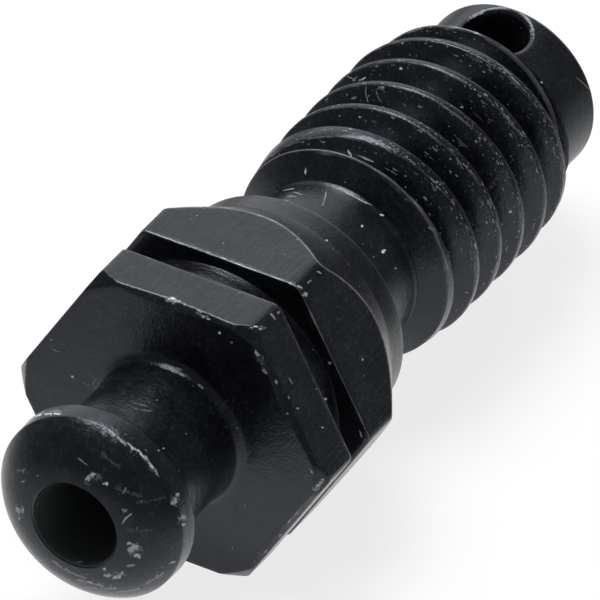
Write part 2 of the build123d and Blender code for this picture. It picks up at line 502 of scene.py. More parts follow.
def crest_edge_rows(edge):
    """Three rows over the edge of a crest: the slopes beside it and the edge itself, which is lowered between
    them. A row is its places, its radii, where infinite stands for the plain surface, and its edge wear with
    painted edge highlight."""
    places_here = edge - CREST_BEVEL, edge, edge + CREST_BEVEL
    low, peak, high = (shank_radius(x, THETA) for x in places_here)
    lowered = 0.25 * low + 0.5 * peak + 0.25 * high
    return zip(places_here, (np.inf, lowered, np.inf), (BEVEL_WEAR_AND_HIGHLIGHT, EDGE_WEAR_AND_HIGHLIGHT, BEVEL_WEAR_AND_HIGHLIGHT))


def thread_rows():
    """Rows that follow the thread between its lead edge and its end: for each turn the groove's floor, the flank,
    the rounded crest edge, the crest, and the same mirrored. Rows are held at both end bands."""
    shank, at = group("shank"), places()
    rows = []
    for turn in TURNS:
        here, there = groove_centre(turn, THETA), groove_centre(turn + 1, THETA)
        rear, front = crest_edge(turn, THETA, 1), crest_edge(turn + 1, THETA, -1)
        root_rear, root_front = np.minimum(shank.root / 2, rear / 2), np.minimum(shank.root / 2, front / 2)
        first, second = here + rear, there - front
        rows.append((here, np.inf, 0))
        for t in FLANK_STEPS:
            rows.append((here + root_rear * (1 - t) + (rear - CREST_BEVEL) * t, np.inf, 0))
        rows += crest_edge_rows(first)
        rows.append((first + (second - first) / 2, np.inf, CREST_WEAR_AND_HIGHLIGHT))
        rows += crest_edge_rows(second)
        for t in FLANK_STEPS[::-1]:
            rows.append((there - (root_front * (1 - t) + (front - CREST_BEVEL) * t), np.inf, 0))
    x, given, wear = (np.stack([np.broadcast_to(v, THETA.shape) for v in column]) for column in zip(*rows))
    held = np.clip(x, at.lead + EDGE_BAND, at.end - EDGE_BAND)
    surface = shank_radius(held, THETA)
    r = np.where(held == x, np.minimum(given, surface), surface)
    order = np.maximum.accumulate(held, axis=0)
    worn_and_highlit = np.where(held == x, wear, BAND_WEAR_AND_HIGHLIGHT)
    return order, np.where(order == held, r, shank_radius(order, THETA)), worn_and_highlit


def build_nipple():
    """The nipple: mouth, swelling nose, bead, sloped back and neck, closed at its joint inside the neck. The nose
    is a parabola over its chord: point = start + t chord + 4 t (1 - t) bulge across."""
    sizes, at = group("nipple"), places()
    bore, mouth = sizes.bore / 2, sizes.bore / 2 + sizes.mouth_break
    start, end = np.array([at.mouth, mouth]), np.array([at.bead_start, sizes.bead_front / 2])
    chord = end - start
    across = np.array([-chord[1], chord[0]]) / np.linalg.norm(chord)
    t = np.linspace(0, 1, 15)[:, None]
    nose = start + chord * t + across * 4 * t * (1 - t) * sizes.bulge
    # Edge wear at the mouth and on the bead's edges, partly painted edge highlight
    mouth_wear, bead_wear = 0.25, 0.3
    x, r, wear = section(
        (at.neck_joint, bore, 0, 0, 12),
        (at.mouth + sizes.mouth_break, bore, 0, 0, 1),
        (*nose[0], 0, mouth_wear, 1),
        *[(*point, 0, 0, 1) for point in nose[1:-1]],
        (*nose[-1], sizes.bead_rounding, bead_wear, 3),
        (at.bead_end, sizes.bead / 2, sizes.bead_rounding, bead_wear, 3),
        (at.neck_start, sizes.neck / 2, sizes.neck_fillet, 0, 8),
        (at.neck_joint, sizes.neck / 2, 0, 0, 2),
        closed=True,
    )
    return keep(skin("nipple", x, r, wear))


def build_hexagon():
    """The hexagon in two lands with the groove between them, the turned cone behind it and the collar, with both
    necks' fillets, closed at its joints inside the two necks. The front edge is broken most along the three
    flats that the picture shows, and chipped at the corner nearest the camera."""
    sizes, at = group("hexagon"), places()
    nipple, shank = group("nipple"), group("shank")
    outline = hexagon_radius(sizes.corner_rounding)
    bore, neck, relief = nipple.bore / 2, nipple.neck / 2, shank.relief / 2
    edge, floor, shoulder = sizes.edge, sizes.groove_floor / 2, sizes.shoulder / 2
    least, more, chip = 0.05 * MM, 0.14 * MM, 0.16 * MM
    broken = least + more * np.maximum.reduce([around(0, 36), around(60, 36), around(110, 50)])
    drop = np.maximum.reduce([broken, outline - sizes.front_turned / 2, chip * around(NEAR_CORNER, 9)])
    cone_edge = at.rear_land_end - (outline - sizes.across_flats / 2) / math.tan(sizes.rear_slope)
    # The fourth number of each station is edge wear with painted edge highlight: the bright lines at the groove's
    # edges and at the cone's edge are partly painted highlight
    x, r, wear = section(
        (at.neck_joint, bore, 0, 0, 1),
        (at.neck_joint, neck, 0, 0, 2),
        (at.face, neck, nipple.neck_fillet, 0, 14),
        (at.face, outline - drop, edge, 0.35, 2),
        (at.face + drop, outline, 2 * edge, 0.34, 10),
        (at.groove_start, outline, 1.3 * edge, 1.0, 5),
        (at.groove_start, floor, sizes.groove_break, 0, 4),
        (at.groove_end, floor, sizes.groove_break, 0, 5),
        (at.groove_end, outline, 1.3 * edge, 0.9, 12),
        (cone_edge, outline, 8 * edge, 1.0, 8),
        (at.collar_start, sizes.collar / 2, edge, 0.5, 5),
        (-2 * edge, shoulder, 1.6 * edge, 1.0, 1),
        (0.0, shoulder - 2 * edge, 0, 0.2, 4),
        (0.0, relief, shank.relief_fillet, 0, 2),
        (at.relief_joint, relief, 0, 0, 1),
        (at.relief_joint, bore, 0, 0, 8),
        closed=True,
    )
    return keep(skin("hexagon", x, r, wear, drawn=np.abs(r - outline) < ON_OUTLINE))


def build_thread():
    """The relief neck and the thread, closed at its joints to the hexagon and to the tip. Its lead chamfer is the
    lower of the cone and the thread's grooves."""
    shank, at = group("shank"), places()
    bore, relief, lead = group("nipple").bore / 2, shank.relief / 2, shank.lead / 2
    steep = (lead - relief) / shank.lead_chamfer
    lead_x, lead_r, lead_wear = section(
        (at.relief_joint, bore, 0, 0, 1),
        (at.relief_joint, relief, 0, 0, 12),
        (at.thread_start, relief, shank.relief_fillet, 0, 6),
        # The bright ring at the lead edge is partly edge wear and partly painted edge highlight
        (at.lead - EDGE_BAND, lead - EDGE_BAND * steep, 0, 0.3, 1),
        (at.lead, lead, 0, 0.62, 1),
    )
    grooved = shank_radius(lead_x, THETA)
    chamfer = lead_x > at.thread_start
    chamfer[:2] = False
    lead_r = np.where(chamfer, np.minimum(lead_r, grooved + 1e-9), lead_r)
    lead_r[-1] = grooved[-1]
    x, r, wear = thread_rows()
    close_x, close_r, close_wear = section(
        (at.end, shank_radius(at.end + 0 * THETA, THETA), 0, 1.0, 1),
        (at.end, bore, 0, 0, 20),
        (at.relief_joint, bore, 0, 0, 1),
    )
    parts = (lead_x, x, close_x), (lead_r, r, close_r), (lead_wear, wear, close_wear)
    return keep(skin("thread", *map(np.vstack, parts)))


def build_tip():
    """The thread's end chamfer, the plain tip and its cone seat, with the end of the bore, drilled across. The
    chamfer is the lower of the cone and the thread's grooves."""
    shank, at = group("shank"), places()
    bore, tip = group("nipple").bore / 2, shank.tip / 2
    x, r, wear = section(
        (at.drill_tip, 0.0, 0, 0, 3),
        (at.bore_end, bore, 0, 0, 6),
        (at.end, bore, 0, 0, 1),
        (at.end, shank_radius(at.end + 0 * THETA, THETA), 0, 1.0, 16),
        (at.thread_end, tip, 0, 0, 24),
        # The seat's bright edge is partly edge wear and partly a painted rim highlight
        (at.seat_edge - shank.seat_break, tip, 0.12 * MM, 0.9, 1),
        (at.seat_edge + shank.seat_break * 0.3, tip - shank.seat_break, 0.03 * MM, 0.9, 12),
        (at.seat_end, shank.seat_end / 2, 0.05 * MM, 0.5, 4),
        (at.seat_end, 0.0, 0, 0, 1),
    )
    chamfer = (x > at.end) & (x < at.thread_end) & (r > bore * 1.2)
    cone = np.interp(x, [at.end, at.thread_end], [shank.end / 2, tip])
    r = np.where(chamfer, np.minimum(cone, shank_radius(x, THETA)), r)
    cutter = drill()
    settings = {"operation": "DIFFERENCE", "solver": "EXACT", "object": cutter}
    mesh = applied(skin("tip_whole", x, r, wear), cutter, "BOOLEAN", **settings)
    mesh.materials.clear()
    return keep(placed("tip", mesh))


def drill():
    """The round bar that cuts the cross-hole and breaks its two rims: point = (place + r cos b, r sin b, height).
    Near the tip's surface r widens in steps that follow it, height = sqrt(tip^2 - (r sin b)^2) - depth. Two poles
    close it."""
    shank, at = group("shank"), places()
    hole, tip, end = shank.cross_hole / 2, shank.tip / 2, 4.4 * MM
    turn = np.linspace(0, 2 * np.pi, 97)
    wider = np.array([[0.26], [0.13], [0.05], [0.0]]) * MM
    depth = np.array([[-0.03], [0.025], [0.08], [0.20]]) * MM
    rim = hole + wider + 0 * turn
    saddle = np.sqrt(tip ** 2 - (rim * np.sin(turn)) ** 2) - depth
    top = np.array([[0], [1]]) * rim[:1]
    radius = np.vstack([top, rim, rim[::-1], top[::-1]])
    height = np.vstack([0 * top - end, -saddle, saddle[::-1], 0 * top + end])
    points = np.stack([at.cross_hole + radius * np.cos(turn), radius * np.sin(turn), height], axis=-1)
    mesh = grid_mesh("cross_drill", points)
    shape = bmesh.new()
    shape.from_mesh(mesh)
    bmesh.ops.remove_doubles(shape, verts=shape.verts, dist=SHORTEST_EDGE)
    bmesh.ops.recalc_face_normals(shape, faces=shape.faces)
    shape.to_mesh(mesh)
    shape.free()
    return linked("cross_drill", mesh)


# Chips, specks and fibres that the picture shows, and painted highlights: the glint in the neck's fillet, streaks
# on the neck and the line along the bead's rim. Each row: place across and down in its pixels, half length, half
# width, brightness in hundredths, and where they are not nought the angle of the length from level and the bow
MARKS_AND_HIGHLIGHTS = np.array([(*row, 0, 0)[:7] for row in (
    # Painted highlight among these rows: the streak along the bead's front rim (110 to 156, 432 to 472), partly
    # wear and partly painted highlight; a soft painted highlight along the bead's rim (48, 412); a soft painted
    # glint in the neck's fillet (170, 367)
    (112, 432, 6, 3.2, 34, -40), (121, 440, 7, 2.6, 34, -35), (132, 446, 8, 2.6, 50, -40),
    (142, 454, 9, 2.4, 62, -50), (150, 463, 10, 2.2, 62, -57), (156, 472, 5, 1.6, 35, -63),
    (110, 433, 10, 5.5, 10, -40), (134, 448, 14, 5, 13, -42), (150, 464, 11, 3.6, 13, -58),
    (92, 478, 9, 6, 9, 15), (135, 551, 9, 8, 11, 20), (114, 575, 13, 4.5, 10, 5), (181, 519, 4, 8, 11),
    (175, 500, 5, 9, 11, 20), (18, 510, 4, 9, 12), (90, 583, 14, 3.6, 20, -12), (48, 412, 14, 3, 16, 4),
    (170, 367, 12, 2.4, 14, -14, 1), (172, 300, 8, 3.4, 13, -10), (203, 315, 8, 3.4, 10, -25),
    (257, 327, 9, 3, 10), (295, 286, 9, 3.4, 13, -20), (260, 358, 4, 9, 8, 20), (316, 486, 8, 4, 12, 42),
    (296, 512, 9, 3.6, 10, 48), (262, 553, 10, 3, 10, 48), (128, 492, 14, 7, 4.5, -20),
    (75, 574, 12, 5, 20, -25), (100, 588, 16, 3.4, 24, -3), (130, 590, 12, 3.4, 20, 8),
    (58, 565, 10, 4.4, 15, -36), (155, 578, 11, 4, 17, 30), (20, 470, 4, 14, 10, -12),
    (150, 500, 16, 12, 3.5, 10), (110, 460, 12, 8, 4, -40), (140, 530, 14, 10, 3), (186, 540, 3, 11, 12, 12),
    (89, 477.5, 5, 3.2, 45, 20), (92, 474, 3, 2, 60), (105, 483, 3, 2, 60, 10), (82, 461, 7, 0.7, 20, -38),
    (124, 490, 4, 0.9, 20, 60, 1), (124, 510, 3, 2.4, 25), (126, 518, 8, 0.8, 45, 47, -2),
    (174, 501, 4.2, 6.5, 50, 20), (177, 494, 2, 2.4, 50, 40), (182, 518, 4, 5.6, 48), (183, 524, 2, 1.6, 50),
    (19, 510, 4, 7.5, 50), (19, 518, 1.4, 2, 40), (22.5, 481, 1.6, 1.2, 25), (37, 475, 1, 0.8, 30),
    (133, 548, 6.5, 6.5, 42, 30), (137, 555, 4, 3, 50, -10), (129, 543, 3, 2, 50), (130, 565, 5, 1.2, 25, 10),
    (104, 568, 1.6, 4, 40, 10), (107, 575, 4.5, 2, 45), (116.5, 576.5, 5, 2.4, 45, 10),
    (121.5, 572.5, 2, 1.4, 45, 40), (171.5, 562, 4, 1.2, 35, 25), (89, 582, 4.5, 1.6, 35, -15),
    # Painted highlights among these rows: along the bead's rim (38 to 56, 413 to 415), streaks on the neck (134
    # to 146, 404 to 410) and the glint in the neck's fillet (163 to 200, 366 to 386)
    (81, 580, 4, 1.4, 25, -10), (78.5, 561.5, 4, 0.6, 30, 8), (38, 415, 5, 1, 70, 22),
    (48, 413.5, 5, 1.2, 60, 6), (56, 413.5, 4, 1.1, 80, -6), (140, 404, 8, 0.6, 10, -12),
    (146, 410, 7, 0.6, 10, -8), (134, 408, 5, 0.5, 8, -15), (163, 448, 1.4, 1, 35), (158, 450, 1, 0.8, 35),
    (170, 368, 9, 1.2, 50, -14, 1), (163, 366, 4, 1.6, 60, -8), (181, 374, 4, 0.8, 40, -30),
    (200, 386, 4, 1.2, 30, -42), (171.5, 298.5, 4.2, 2.8, 85, -5), (177, 300.5, 3, 1.6, 60),
    (184, 304, 1.2, 1, 50), (199, 310.5, 3, 1, 35, -30), (203, 316, 1.6, 2.4, 35), (208, 318.5, 2, 1.4, 40),
    (219, 332.5, 1.7, 1.3, 55), (231, 342, 1, 0.8, 30), (254, 326.5, 4, 2.6, 60), (262, 328, 4, 1.6, 30, 10),
    (273, 316, 4, 1.3, 35, -55), (278, 312, 2, 1, 30, 30), (257.5, 352.5, 4, 3.4, 55, -50),
    (260.5, 361, 2.4, 1.2, 35, -60), (265, 370, 4.2, 2.8, 50, -60), (276, 381.5, 2.6, 1.2, 35, -62),
    (288, 397, 2, 0.9, 30, -60), (297, 408, 1.3, 1, 40), (290, 380, 4, 0.5, 28, -60), (287, 413, 1, 1, 30),
    (329, 362.5, 1.6, 1.3, 60), (325, 398.5, 1.6, 1.3, 60), (360.5, 434, 4, 0.8, 40, -70),
    (322, 427, 1.2, 1, 50), (292, 284, 5.5, 2.6, 85, -25), (299, 287, 3.4, 2.2, 60, -25),
    (304, 294.5, 3, 4, 55, 10), (319, 272, 2.6, 1, 45, -30), (309, 281, 3, 0.9, 30, 35),
    (242, 265.5, 2, 1, 50, -20), (194, 248, 3, 0.7, 40, -20), (207, 252, 2, 0.6, 40, -20),
    (224, 258, 3, 0.6, 40, -20), (315, 487, 5.5, 4, 50, 40), (321, 481, 4, 2.2, 45, 50),
    (311, 471, 3.6, 0.7, 40, -60), (295, 513, 4, 2.6, 35, 50), (289, 520, 3, 1.3, 40, 50),
    (280, 535, 2.4, 1.3, 40, 50), (265, 550.5, 3, 1.6, 45, 50), (256, 560, 4, 1.5, 40, 50),
    (244, 505, 1.3, 1.1, 45), (232, 548, 1.2, 1, 50), (72, 376, 1.7, 1.5, 70), (51, 339, 1.1, 1, 40),
    (56, 350, 5, 0.6, 20, -20, 2), (86, 383, 5, 0.6, 20, -30, 2), (94, 381, 4, 0.6, 20, 60, -2),
    (383, 250.5, 2.4, 1.7, 90, 50), (361.5, 225.5, 1.4, 1.1, 60), (381.5, 214.5, 2.6, 1.2, 80, -15),
    (326, 240, 1.3, 1, 40), (362, 359, 1.2, 1.2, 40), (305, 170.5, 0.9, 3.6, 70), (349, 152.5, 4, 1.2, 80, -62),
    (365, 158, 9, 0.8, 60, -24), (357, 197.5, 19, 0.7, 45, -27, 2), (362, 78.5, 4, 0.8, 60, 25, 1),
    (366, 93, 9, 0.5, 28, -84, 2), (378, 96, 8, 0.5, 22, -65, 3), (350, 77, 5, 0.5, 30, -20, 1),
    (400.5, 68, 1.8, 1.3, 70), (461, 106.5, 1.8, 1.2, 55), (324, 198, 8, 0.5, 35, 75, 1),
    (288, 189, 6, 0.6, 30, 10, 1), (298, 193, 5, 0.6, 25, -20, -1), (291, 196, 5, 1.6, 16),
    (285, 200, 4, 1.2, 14), (585, 85, 12, 0.6, 22, -44), (541.5, 81.5, 1.8, 1.2, 70), (509.7, 211, 1.9, 1.6, 85),
    (395, 268, 1.2, 1, 40), (466, 292, 1.4, 1.1, 50), (448, 255, 3, 0.6, 40, -50), (430, 228, 3, 0.8, 35, -40),
)])


def smears(points, along, across, bow, tone, seed):
    """Thin patches, each a bowed oval with an uneven outline, for t and s from -1 to 1: point = centre + length
    along + s width across + (t^2 - 0.3) bow, with length = 1.12 t and width = 1.4 sqrt(1.02 - t^2), both with
    noise. All are worked out at once. Each patch fades from its middle line to its outline, which the finish
    breaks up by its grain, and broad patches fade more than fine ones. Gives the points, their tone and their
    fade."""
    rng = np.random.default_rng(seed)
    count = len(points)
    t = np.linspace(-1, 1, PATCH_LONG)[None, :, None, None]
    s = np.linspace(-1, 1, PATCH_WIDE)[None, None, :, None]
    uneven = 1 + WIDTH_NOISE * (rng.random((count, PATCH_LONG, PATCH_WIDE, 1)) - 0.5)
    width = 1.4 * np.sqrt(1.02 - t ** 2) * uneven
    uneven = 1 + LENGTH_NOISE * (rng.random((count, 1, PATCH_WIDE, 1)) - 0.5)
    length = 1.12 * t * uneven
    thick = np.linalg.norm(across, axis=1)[:, None, None, None]
    side = across[:, None, None] / np.maximum(thick, 1e-12)
    place = points[:, None, None] + length * along[:, None, None] + s * width * across[:, None, None]
    place = place + side * bow[:, None, None, None] * (t ** 2 - 0.3)
    solid = np.interp(thick, [0.015 * MM, 0.07 * MM], [1.6, 1.05])
    fade = ((1 - np.abs(s)) * np.minimum(1, 3 * (1.001 - np.abs(t))) * solid)[..., 0]
    return place, tone[:, None, None] + 0 * fade, fade


def pixels_per_metre():
    """Pixels of the picture to the metre at the aim."""
    sizes = group("stage")
    return sizes.lens / SENSOR_MM * PICTURE / sizes.distance


def seen_marks_and_highlights(tree):
    """The marks of the picture, laid on the surface that the camera sees there. An offset e in the picture plane
    becomes e - d (e.n) / (d.n) in the surface's plane, with d the view direction and n the surface's normal."""
    sizes, scale = group("stage"), pixels_per_metre()
    aim = np.array(sizes.aim)
    eye = aim + BACK * sizes.distance
    offset = (MARKS_AND_HIGHLIGHTS[:, :2] - PICTURE_MIDDLE) / scale
    ray = aim + (offset[:, :1] * ACROSS - offset[:, 1:] * UPWARD) - eye
    ray /= np.linalg.norm(ray, axis=1)[:, None]
    hits = [tree.ray_cast(Vector(eye), Vector(line)) for line in ray]
    found = np.array([place is not None for place, *_ in hits])
    centre, normal = (np.array([hit[k] for hit in hits if hit[0] is not None]) for k in (0, 1))
    marks, ray = MARKS_AND_HIGHLIGHTS[found], ray[found]

    def laid(offset):
        slant = (offset * normal).sum(axis=1) / np.minimum((ray * normal).sum(axis=1), -LEAST_FACING)
        return offset - ray * slant[:, None]

    angle = np.radians(marks[:, 5:6])
    level, upright = np.cos(angle), np.sin(angle)
    along = laid((level * ACROSS + upright * UPWARD) * marks[:, 2:3] / scale)
    side = laid((-upright * ACROSS + level * UPWARD) * marks[:, 3:4] / scale)
    return smears(centre, along, side, marks[:, 6] / scale, marks[:, 4] / 100, seed=3)


def crest_scuffs():
    """Short bright scuffs and specks along the thread, on the side that the picture shows: each lies at a random
    angle on or beside a crest's edge, with its length along the thread. The surface's slope is taken over a step
    of 0.02 mm."""
    shank = group("shank")
    rng = np.random.default_rng(11)
    count, step = 2200, 0.01 * MM
    first, last = 3.45 * MM, 11.2 * MM
    seen_angle, angle_spread = 48, 50
    angle = rng.normal(seen_angle, angle_spread, count)
    turn = rng.integers(-4, 3, count)
    near = np.where(rng.random(count) < 0.5, 0.5, rng.random(count))
    edge = crest_edge(turn.astype(float), angle, 1)
    x = groove_centre(turn, angle) + edge + (near - 0.5) * 0.9 * MM + rng.normal(0, 0.08, count) * MM
    inside = (x > first) & (x < last)
    x, angle, count = x[inside], angle[inside], int(inside.sum())
    r, a = shank_radius(x, angle), np.radians(angle)
    slope = shank.pitch / (2 * np.pi * r)
    along = np.stack([slope, -np.cos(a), -np.sin(a)], axis=1)
    rise = (shank_radius(x + step, angle) - shank_radius(x - step, angle)) / (2 * step)
    across = np.stack([np.ones(count), -rise * np.sin(a), rise * np.cos(a)], axis=1)
    across /= np.linalg.norm(across, axis=1)[:, None]
    size = np.exp(rng.normal(-4.1, 0.45, count))
    long = (size * np.exp(np.abs(rng.normal(0.3, 0.8, count))))[:, None] * MM
    tone = rng.random(count) ** 2 * 0.38 + 0.06
    centre = turned_point(x, r, angle)
    return smears(centre, along * long, across * size[:, None] * MM, np.zeros(count), tone, seed=5)


def build_marks_and_highlights():
    """Chips, specks, fibres, scuffs and painted highlights: thin patches drawn down onto the finished surfaces.
    """
    whole = bmesh.new()
    for name in SOLID_PIECES:
        whole.from_mesh(bpy.data.objects[name].data)
    tree = BVHTree.FromBMesh(whole)
    surface = bpy.data.meshes.new("whole_surface")
    whole.to_mesh(surface)
    whole.free()
    points, tone, fade = map(np.concatenate, zip(seen_marks_and_highlights(tree), crest_scuffs()))
    mesh = grid_mesh("marks", points)
    give(mesh, tone=tone, fade=fade)
    target = linked("whole_surface", surface)
    settings = {"wrap_method": "NEAREST_SURFACEPOINT", "wrap_mode": "ABOVE_SURFACE", "offset": MARK_LIFT}
    settled = applied(linked("marks", mesh), target, "SHRINKWRAP", target=target, **settings)
    return keep(placed("marks", settled, sharp=math.pi))


class Nodes:
    """A small helper that adds nodes to a material or a world and joins them."""

    def __init__(self, owner):
        owner.use_nodes = True
        self.owner, self.tree = owner, owner.node_tree

    def add(self, kind, inputs=None, **settings):
        """Adds a node, sets its settings, and fills its inputs."""
        node = self.tree.nodes.new(kind)
        for key, value in settings.items():
            setattr(node, key, value)
        self.fill(node, inputs or {})
        return node

    def fill(self, node, inputs):
        """Fills a node's inputs with values or with other nodes' outputs."""
        for key, value in inputs.items():
            if isinstance(value, bpy.types.NodeSocket):
                self.tree.links.new(value, node.inputs[key])
            else:
                node.inputs[key].default_value = value

    def maths(self, operation, first, second=0.0):
        """One sum of two numbers."""
        return self.add("ShaderNodeMath", {0: first, 1: second}, operation=operation).outputs[0]

    def times(self, first, second):
        """Product of two numbers."""
        return self.maths("MULTIPLY", first, second)

    def plus(self, first, second):
        """Sum of two numbers."""
        return self.maths("ADD", first, second)

    def most(self, first, second):
        """The larger of two numbers."""
        return self.maths("MAXIMUM", first, second)

    def vector(self, operation, output, *inputs):
        """One sum of vectors."""
        node = self.add("ShaderNodeVectorMath", dict(enumerate(inputs)), operation=operation)
        return node.outputs[output]

    def spread(self, value, low, high, new_low=0.0, new_high=1.0):
        """Carries a number from one range to another, held at both ends."""
        inputs = dict(enumerate((value, low, high, new_low, new_high)))
        return self.add("ShaderNodeMapRange", inputs, clamp=True).outputs[0]

    def object_place(self, scale=(1.0, 1.0, 1.0)):
        """The piece's own coordinates, stretched where a scale is small."""
        where = self.add("ShaderNodeTexCoord").outputs["Object"]
        return self.add("ShaderNodeMapping", {"Vector": where, "Scale": scale}).outputs[0]

    def attribute(self, name):
        """A number that the mesh carries."""
        return self.add("ShaderNodeAttribute", attribute_name=name).outputs["Fac"]

    def noise(self, vector, scale, detail=3.0, rough=0.55):
        """Noise between nought and one."""
        inputs = {"Vector": vector, "Scale": scale, "Detail": detail, "Roughness": rough}
        return self.add("ShaderNodeTexNoise", inputs).outputs["Fac"]

    def blend(self, factor, first, second):
        """Blends two colours."""
        return self.add("ShaderNodeMix", {0: factor, 6: first, 7: second}, data_type="RGBA").outputs[2]

    def show(self, output):
        """Makes a node's output the tree's result."""
        self.tree.links.new(output, self.tree.nodes["Material Output"].inputs[0])


def finish_material():
    """Blackened steel: a dark, slightly uneven finish with fine grain, drawn and turned marks, edges lightened
    partly where the finish is rubbed through and partly as painted edge highlight, dust, and chips and painted
    highlights with ragged outlines. All noise is counted in cells to the metre."""
    old = bpy.data.materials.get(FINISH)
    if old:
        return old
    tone = group("finish")
    nodes = Nodes(bpy.data.materials.new(FINISH))
    times, plus, spread, noise = nodes.times, nodes.plus, nodes.spread, nodes.noise
    where = nodes.add("ShaderNodeTexCoord").outputs["Object"]
    wear, drawn, fade, level = map(nodes.attribute, ("wear", "drawn", "fade", "tone"))
    patches = noise(where, 900.0, 4.0)
    coarse = noise(where, 2600.0, 3.0, 0.6)
    grain = noise(where, 11000.0, 3.0, 0.6)
    turned = noise(nodes.object_place((1.0, 0.10, 0.10)), 9000.0, 4.0, 0.65)
    bar = noise(nodes.object_place((0.16, 1.0, 1.0)), 7000.0, 4.0, 0.65)

    # The plain finish, lighter in the drilled bore
    even = plus(times(patches, 0.6), times(coarse, 0.4))
    base = nodes.blend(spread(even, 0.38, 0.62), (*tone.black, 1), (*tone.grey, 1))
    off_axis = nodes.vector("LENGTH", "Value", nodes.vector("MULTIPLY", "Vector", where, (0.0, 1.0, 1.0)))
    base = nodes.blend(spread(off_axis, 1.42 * MM, 1.50 * MM, 1.0, 0.0), base, (*tone.bore, 1))

    # How far the edges are lightened, partly where the finish is rubbed through and partly as painted edge
    # highlight, in short strokes
    strokes = times(spread(turned, 0.46, 0.66), spread(patches, 0.35, 0.6))
    uneven = spread(spread(strokes, 0.05, 0.8), 0.0, 1.0, 0.52, 1.0)
    thin = spread(times(wear, uneven), 0.26, 1.0)

    # Dust: round specks in some of the cells, and a thin film in the finer noise
    cells = nodes.add("ShaderNodeTexVoronoi", {"Vector": where, "Scale": 3600.0, "Randomness": 1.0})
    chosen = nodes.add("ShaderNodeSeparateColor", {0: cells.outputs["Color"]}).outputs[0]
    few = nodes.maths("GREATER_THAN", chosen, spread(patches, 0.40, 0.66, 0.97, 0.62))
    spot = spread(cells.outputs["Distance"], 0.07, 0.13, 1.0, 0.0)
    dust = times(times(few, spot), 0.8)
    film = spread(noise(where, 6500.0, 5.0, 0.7), 0.50, 0.70, 0.0, 0.09)
    film = times(film, spread(patches, 0.38, 0.62, 0.35, 1.0))
    bare = nodes.blend(nodes.most(dust, film), base, (*tone.dust, 1))
    bare = nodes.blend(thin, bare, (*tone.worn_and_highlit, 1))

    # Chips, specks, fibres and painted highlights, which fade to a ragged outline
    ragged = plus(fade, spread(noise(where, 9000.0, 4.0, 0.75), 0.25, 0.75, -0.75, 0.75))
    chip = times(spread(ragged, 0.40, 0.62), level)
    chip = times(chip, spread(grain, 0.35, 0.65, 0.6, 1.3))

    # Roughness, and the height of the grain, of the turned marks and of the bar's drawn marks on the flats
    rough = spread(grain, 0.3, 0.7, tone.roughness - 0.05, tone.roughness + 0.07)
    dull = nodes.most(times(dust, 0.5), times(chip, 0.8))
    turned_part = times(turned, spread(drawn, 0.0, 1.0, 0.55, 0.0))
    streaks = plus(turned_part, times(bar, drawn))
    height = plus(times(grain, 0.5), times(coarse, 0.5))
    height = plus(height, times(streaks, 0.8))
    bump = nodes.add("ShaderNodeBump", {"Height": height, "Strength": 0.75, "Distance": 0.03 * MM})
    nodes.fill(nodes.tree.nodes["Principled BSDF"], {
        "Base Color": nodes.blend(chip, bare, (*tone.chip, 1)),
        "Metallic": times(thin, 0.5),
        "Roughness": plus(rough, dull),
        "Normal": bump.outputs["Normal"],
        "Specular Tint": (0.80, 0.88, 1.0, 1.0),
    })
    return nodes.owner


def seen_ray(nodes):
    """One for a ray that the camera, a reflection or clear glass sends out, nought for the rest."""
    path = nodes.add("ShaderNodeLightPath").outputs
    return nodes.most(nodes.most(path["Is Camera Ray"], path["Is Glossy Ray"]), path["Is Transmission Ray"])


def studio_glow(nodes, direction):
    """Light of the studio's walls in a direction: dim all round and bright towards the soft key side."""
    facing = nodes.vector("DOT_PRODUCT", "Value", direction, KEY_SIDE)
    return nodes.spread(facing, 0.76, 0.96, 0.16, 1.12)


